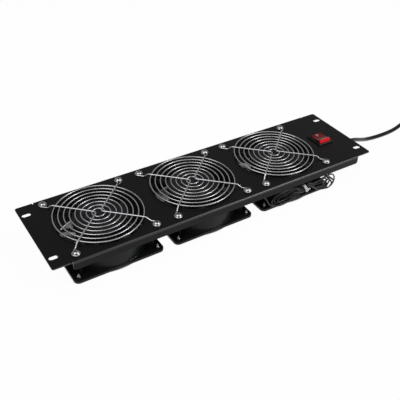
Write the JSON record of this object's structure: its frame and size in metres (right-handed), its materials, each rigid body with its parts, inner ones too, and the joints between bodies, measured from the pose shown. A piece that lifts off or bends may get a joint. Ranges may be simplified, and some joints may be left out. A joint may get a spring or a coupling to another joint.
{
  "type": "rack fan tray",
  "caption": "Rack-mount panel with a row of axial fans under wire finger guards, a rocker switch and a mains cord with its plug.",
  "frame": {"origin": "middle of the tray's box in X and Y, at the level on which the rear screw heads stand", "axes": "+X along the panel towards the switch, +Y across it, +Z out of the panel's face, away from the fans"},
  "size_m": [0.7251, 0.1832, 0.049],
  "materials": {
    "black_steel": "satin black powder coat",
    "bright_wire": "polished wire",
    "plated_screw": "bright zinc plate",
    "cast_frame": "black painted die casting",
    "fan_blade": "matt black glass-filled plastic",
    "shaft_steel": "ground",
    "bearing_steel": "ground",
    "magnet": "matt rotor ring",
    "stator_steel": "laminated",
    "copper": "enamelled winding wire",
    "black_wire": "black insulation",
    "white_nylon": "natural nylon",
    "black_plastic": "gloss black moulding",
    "red_plastic": "gloss red moulding",
    "tinned_brass": "tinned tabs",
    "nickel_pin": "nickel-plated brass",
    "clear_sleeve": "red vinyl sleeve",
    "zinc": "zinc plate"
  },
  "bodies": {
    "tray": {"panel": "black_steel", "switch_housing": "black_plastic", "switch_terminals": "tinned_brass", "terminal_sleeves": "clear_sleeve", "guard_screws": "plated_screw", "rear_screws": "plated_screw", "finger_guard_1": "bright_wire", "fan_1_frame": "cast_frame", "fan_1_bearings": "bearing_steel", "fan_1_stator_core": "stator_steel", "fan_1_windings": "copper", "fan_1_leads": "black_wire", "finger_guard_2": "bright_wire", "fan_2_frame": "cast_frame", "fan_2_bearings": "bearing_steel", "fan_2_stator_core": "stator_steel", "fan_2_windings": "copper", "fan_2_leads": "black_wire", "finger_guard_3": "bright_wire", "fan_3_frame": "cast_frame", "fan_3_bearings": "bearing_steel", "fan_3_stator_core": "stator_steel", "fan_3_windings": "copper", "fan_3_leads": "black_wire", "lead_hank": "black_wire", "hank_tie": "white_nylon", "switch_leads": "black_wire", "cord_cores": "black_wire", "earth_stud": "zinc", "earth_terminal": "tinned_brass", "earth_nut": "zinc", "earth_lead": "black_wire", "cord_mount": "white_nylon", "cord_tie": "white_nylon", "power_cord": "black_wire", "cord_coil": "black_wire", "plug": "black_wire", "plug_pins": "nickel_pin"},
    "fan_1_rotor": {"fan_1_impeller": "fan_blade", "fan_1_shaft": "shaft_steel", "fan_1_rotor_ring": "magnet"},
    "fan_2_rotor": {"fan_2_impeller": "fan_blade", "fan_2_shaft": "shaft_steel", "fan_2_rotor_ring": "magnet"},
    "fan_3_rotor": {"fan_3_impeller": "fan_blade", "fan_3_shaft": "shaft_steel", "fan_3_rotor_ring": "magnet"},
    "switch_rocker": {"rocker": "red_plastic"}
  },
  "joints": [
    {"name": "fan_1_spin", "type": "hinge", "parent": "tray", "child": "fan_1_rotor", "pos_m": [-0.1559, 0, 0.02135], "axis": [0, 0, 1], "continuous": true},
    {"name": "fan_2_spin", "type": "hinge", "parent": "tray", "child": "fan_2_rotor", "pos_m": [-0.0205, 0, 0.02135], "axis": [0, 0, 1], "continuous": true},
    {"name": "fan_3_spin", "type": "hinge", "parent": "tray", "child": "fan_3_rotor", "pos_m": [0.1149, 0, 0.02135], "axis": [0, 0, 1], "continuous": true},
    {"name": "rocker_tilt", "type": "hinge", "parent": "tray", "child": "switch_rocker", "pos_m": [0.2002, -0.0016, 0.0405], "axis": [1, 0, 0], "range_deg": [0, 15]}
  ]
}
